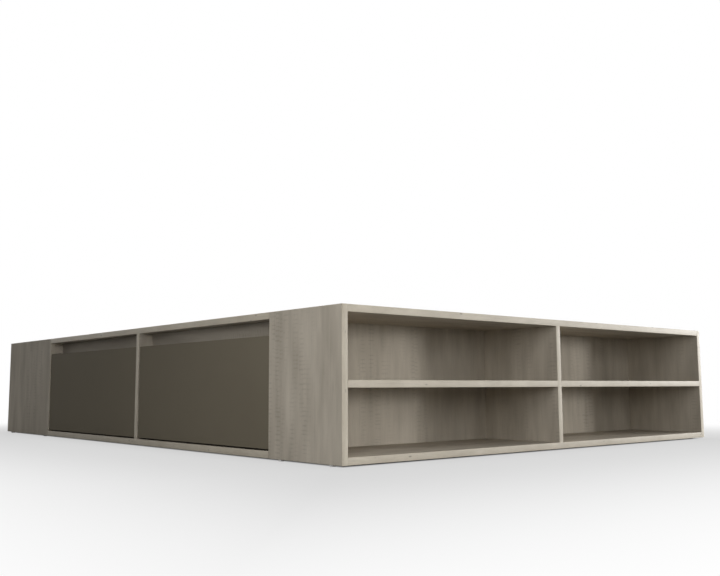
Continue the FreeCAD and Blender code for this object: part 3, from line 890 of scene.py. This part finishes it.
class BED_OT_slides(bpy.types.Operator):
    """Zinc plating on the slides and cam bolts, and beech on the dowels"""
    bl_idname = "bed.slides"
    bl_label = "Slides"

    def execute(self, context):
        deck = context.scene.bed_deck
        finish = context.scene.bed_fittings
        zinc = zinc_material("zinc_slides", "X")
        for name in NODES:
            if "runners" in name or "slide" in name:
                dress(name, zinc, finish.slide_edge)
        dress("cam_bolts", zinc, finish.bolt_edge)
        dress("dowels", wood_material("beech_dowels", "Z", deck.beech_light, deck.beech_dark), deck.slat_edge)
        return {"FINISHED"}


def screw_row(low, high, finish):
    """Even places for a row of screws between two ends, each with the inset left free."""
    return np.linspace(low + finish.screw_inset, high - finish.screw_inset, finish.row_screws)


class BED_OT_runner_fittings(bpy.types.Operator):
    """Screws and a release lever in the channel of each drawer's runners"""
    bl_idname = "bed.runner_fittings"
    bl_label = "Runner fittings"

    def execute(self, context):
        finish = context.scene.bed_fittings
        plastic = plastic_material("lever_plastic", finish.lever_light, finish.lever_dark)
        zinc = zinc_material("zinc_runner_screws")
        screw = pan_head(finish.screw_head)
        lever = lever_tongue(finish.lever_length, finish.lever_width, finish.lever_thickness)
        for drawer in DRAWERS:
            screws, levers = [], []
            for (low, high), outward in zip(solids_of(f"{drawer}_runners"), (-Y, Y)):
                wall_side = high[1] if outward[1] < 0 else low[1]
                web = wall_side + outward[1] * finish.slide_gauge
                middle_z = (low[2] + high[2]) / 2
                places = screw_row(low[0], high[0], finish)
                screws += [((x, web, middle_z), outward) for x in places]
                levers.append(((places[:2].mean(), web, middle_z), outward))
            new_piece(f"{drawer}_runner_screws", *copies(screw, screws), drawer, "zinc_steel", zinc)
            new_piece(f"{drawer}_release_levers", *copies(lever, levers), drawer, "glide_plastic", plastic)
        return {"FINISHED"}


class BED_OT_deck(bpy.types.Operator):
    """Pine slats and their bearers"""
    bl_idname = "bed.deck"
    bl_label = "Slatted deck"

    def execute(self, context):
        deck = context.scene.bed_deck
        lows = np.sort([low[1] for low, high in solids_of("slats")])
        slats = wood_material("pine_slats", "X", deck.pine_light, deck.pine_dark, lows)
        bearers = wood_material("pine_bearers", "Y", deck.pine_light, deck.pine_dark)
        dress("slats", slats, deck.slat_edge)
        dress("slat_bearers", bearers, deck.slat_edge)
        return {"FINISHED"}


class BED_OT_deck_screws(bpy.types.Operator):
    """Screws through the ends of the slats, and in the inner faces of their bearers"""
    bl_idname = "bed.deck_screws"
    bl_label = "Deck screws"

    def execute(self, context):
        finish = context.scene.bed_fittings
        zinc = zinc_material("zinc_deck_screws")
        slats = solids_of("slats")
        slat_places, bearer_places = [], []
        for low, high in solids_of("slat_bearers"):
            middle = (low + high) / 2
            inward = -np.sign(middle[0]) * X
            inner_x = low[0] if middle[0] > 0 else high[0]
            for y in screw_row(low[1], high[1], finish):
                bearer_places.append(((inner_x, y, middle[2]), inward))
            for slat_low, slat_high in slats:
                slat_y = (slat_low[1] + slat_high[1]) / 2
                if low[1] < slat_y < high[1]:
                    slat_places.append(((middle[0], slat_y, slat_high[2]), Z))
        flat = copies(low_head(finish.screw_head), slat_places)
        pan = copies(pan_head(finish.screw_head), bearer_places)
        new_piece("slat_screws", *flat, "carcass", "zinc_steel", zinc)
        new_piece("bearer_screws", *pan, "carcass", "zinc_steel", zinc)
        return {"FINISHED"}


def cam_place(low, high):
    """Middle of a cam lock's face, and the way it faces: to the side where it is flush with its board."""
    axis = int(np.argmin(high - low))
    origin = (low + high) / 2
    for name, (board_low, board_high) in BOX.items():
        held = (board_low <= low + SAME_PLACE).all() and (high <= board_high + SAME_PLACE).all()
        if held and any(name.startswith(kind) for kind in BOARD_GRAIN):
            above = board_high[axis] - high[axis] < low[axis] - board_low[axis]
            origin[axis] = high[axis] if above else low[axis]
            return origin, AXES[axis] * (1 if above else -1)
    raise RuntimeError("a cam lock lies in no board")


class BED_OT_cam_locks(bpy.types.Operator):
    """Cam locks with a cross in their faces, in place of the plain ones"""
    bl_idname = "bed.cam_locks"
    bl_label = "Cam locks"

    def execute(self, context):
        boxes = solids_of("cam_locks")
        height, diameter = np.sort(np.ptp(boxes[0], axis=0))[:2]
        places = [cam_place(low, high) for low, high in boxes]
        discs = copies(cam_disc(diameter, height), places)
        piece = new_piece("cam_lock_discs", *discs, "carcass", "cam_metal", zinc_material("zinc_cams"))
        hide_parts("cam_locks")
        return {"FINISHED"}


class BED_OT_floor_glides(bpy.types.Operator):
    """Round-footed glides, in place of the plain ones"""
    bl_idname = "bed.floor_glides"
    bl_label = "Floor glides"

    def execute(self, context):
        finish = context.scene.bed_fittings
        plastic = plastic_material("glide_plastic", finish.glide_light, finish.glide_dark)
        boxes = solids_of("floor_glides")
        size = np.ptp(boxes[0], axis=0)
        places = [((low + high) / 2 + size[2] / 2 * Z, -Z) for low, high in boxes]
        glides = copies(glide_disc(size[:2].min(), size[2]), places)
        piece = new_piece("round_glides", *glides, "carcass", "glide_plastic", plastic)
        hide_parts("floor_glides")
        return {"FINISHED"}


# Stage

def area_lamp(name, watts, place, target, width, height, spread=math.pi):
    """One soft rectangular lamp that looks from its place to a target."""
    data = bpy.data.lights.new(name, "AREA")
    data.shape = "RECTANGLE"
    data.size = width
    data.size_y = height
    data.energy = watts
    data.spread = spread
    lamp = bpy.data.objects.new(name, data)
    lamp.visible_camera = False
    lamp.location = place
    lamp.rotation_mode = "QUATERNION"
    lamp.rotation_quaternion = (Vector(target) - Vector(place)).to_track_quat("-Z", "Y")
    bpy.context.scene.collection.objects.link(lamp)


def seen_directly(tree):
    """1 for rays from the camera and for what mirrors and glass show, 0 for light on its way to a surface."""
    path = add_node(tree, "ShaderNodeLightPath").outputs
    shown = calc(tree, "MAXIMUM", path["Is Camera Ray"], path["Is Glossy Ray"])
    return calc(tree, "MAXIMUM", shown, path["Is Transmission Ray"])


def studio_world(ambient):
    """An even world light that is plain white where it is seen."""
    world = bpy.data.worlds.new("studio")
    world.use_nodes = True
    tree = world.node_tree
    strength = weighted(tree, ambient, (seen_directly(tree), 1.0 - ambient))
    tree.links.new(strength, tree.nodes["Background"].inputs["Strength"])
    tree.nodes["Background"].inputs["Color"].default_value = WHITE
    bpy.context.scene.world = world


def floor_material(floor_colour):
    """A pale floor that keeps the base's shadow near it and fades to plain white further out."""
    material, tree, shader = new_material("studio_floor")
    place = add_node(tree, "ShaderNodeTexCoord").outputs["Object"]
    outside = vector_sum(tree, "SUBTRACT", vector_sum(tree, "ABSOLUTE", place), tuple(cad_box[1]))
    outside = add_node(tree, "ShaderNodeSeparateXYZ", {0: outside}).outputs
    away = calc(tree, "MAXIMUM", outside["X"], outside["Y"])
    near_share = ramp(tree, away, -UNDER_EDGE, 0.0, 0.0, EDGE_WHITE)
    far_share = ramp(tree, away, 0.0, FADE_REACH, 0.0, 1.0 - EDGE_WHITE)
    faded = product(tree, calc(tree, "ADD", near_share, far_share), seen_directly(tree))
    shader.inputs["Base Color"].default_value = opaque(floor_colour)
    shader.inputs["Roughness"].default_value = 0.9
    shader.inputs["Specular IOR Level"].default_value = 0.0
    white = add_node(tree, "ShaderNodeEmission", {"Color": WHITE, "Strength": 1.0})
    blend = add_node(tree, "ShaderNodeMixShader", {0: faded, 1: shader.outputs[0], 2: white.outputs[0]})
    tree.links.new(blend.outputs[0], tree.nodes["Material Output"].inputs["Surface"])
    return material


def studio_floor(stage):
    """One flat plane under the base."""
    reach = stage.floor_reach
    corners = [(-reach, -reach, 0), (reach, -reach, 0), (reach, reach, 0), (-reach, reach, 0)]
    mesh = bpy.data.meshes.new("floor")
    mesh.from_pydata(corners, [], [(0, 1, 2, 3)])
    mesh.materials.append(floor_material(stage.floor_colour))
    floor = bpy.data.objects.new("floor", mesh)
    bpy.context.scene.collection.objects.link(floor)


def studio_camera(stage):
    """The camera at the photograph's place and angle."""
    data = bpy.data.cameras.new("camera")
    data.sensor_fit = "HORIZONTAL"
    data.sensor_width = SENSOR_WIDTH
    data.lens = stage.lens
    camera = bpy.data.objects.new("camera", data)
    turn = Matrix.Rotation(-stage.camera_turn, 4, "Z")
    tilt = Matrix.Rotation(math.pi / 2 + stage.camera_tilt, 4, "X")
    roll = Matrix.Rotation(stage.camera_roll, 4, "Z")
    camera.matrix_world = Matrix.Translation(stage.camera_place) @ turn @ tilt @ roll
    bpy.context.scene.collection.objects.link(camera)
    bpy.context.scene.camera = camera


class BED_OT_stage(bpy.types.Operator):
    """Pale floor, soft lamps and the camera"""
    bl_idname = "bed.stage"
    bl_label = "Studio stage"

    def execute(self, context):
        stage = context.scene.bed_stage
        context.scene.view_settings.view_transform = "Standard"
        studio_world(stage.ambient)
        studio_floor(stage)
        studio_camera(stage)
        for name, lamp in LAMPS.items():
            area_lamp(f"{name}_lamp", getattr(stage, f"{name}_power"), *lamp)
        return {"FINISHED"}


class BED_PT_panel(bpy.types.Panel):
    """Lists the steps that dress the bed base"""
    bl_idname = "BED_PT_panel"
    bl_label = "Bed base"
    bl_space_type = "VIEW_3D"
    bl_region_type = "UI"
    bl_category = "Bed base"

    def draw(self, context):
        for step in STEPS:
            self.layout.operator(step.bl_idname)


STEPS = (BED_OT_stage, BED_OT_boards, BED_OT_edge_bands, BED_OT_drawers, BED_OT_drawer_fixings, BED_OT_slides,
         BED_OT_runner_fittings, BED_OT_deck, BED_OT_deck_screws, BED_OT_cam_locks, BED_OT_floor_glides)
SETTINGS = {"bed_boards": BoardFinish, "bed_drawers": DrawerFinish, "bed_deck": DeckFinish,
            "bed_fittings": FittingFinish, "bed_stage": StageSettings}
CLASSES = (*SETTINGS.values(), *STEPS, BED_PT_panel)


def register():
    """Makes the classes and their settings known to Blender."""
    for kind in CLASSES:
        bpy.utils.register_class(kind)
    for name, kind in SETTINGS.items():
        setattr(bpy.types.Scene, name, PointerProperty(type=kind))


def unregister():
    """Takes the settings and the classes away again."""
    for name in SETTINGS:
        delattr(bpy.types.Scene, name)
    for kind in reversed(CLASSES):
        bpy.utils.unregister_class(kind)


def main():
    """Registers the add-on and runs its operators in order."""
    register()
    for step in STEPS:
        getattr(bpy.ops.bed, step.bl_idname.removeprefix("bed."))()


if __name__ == "__main__":
    main()
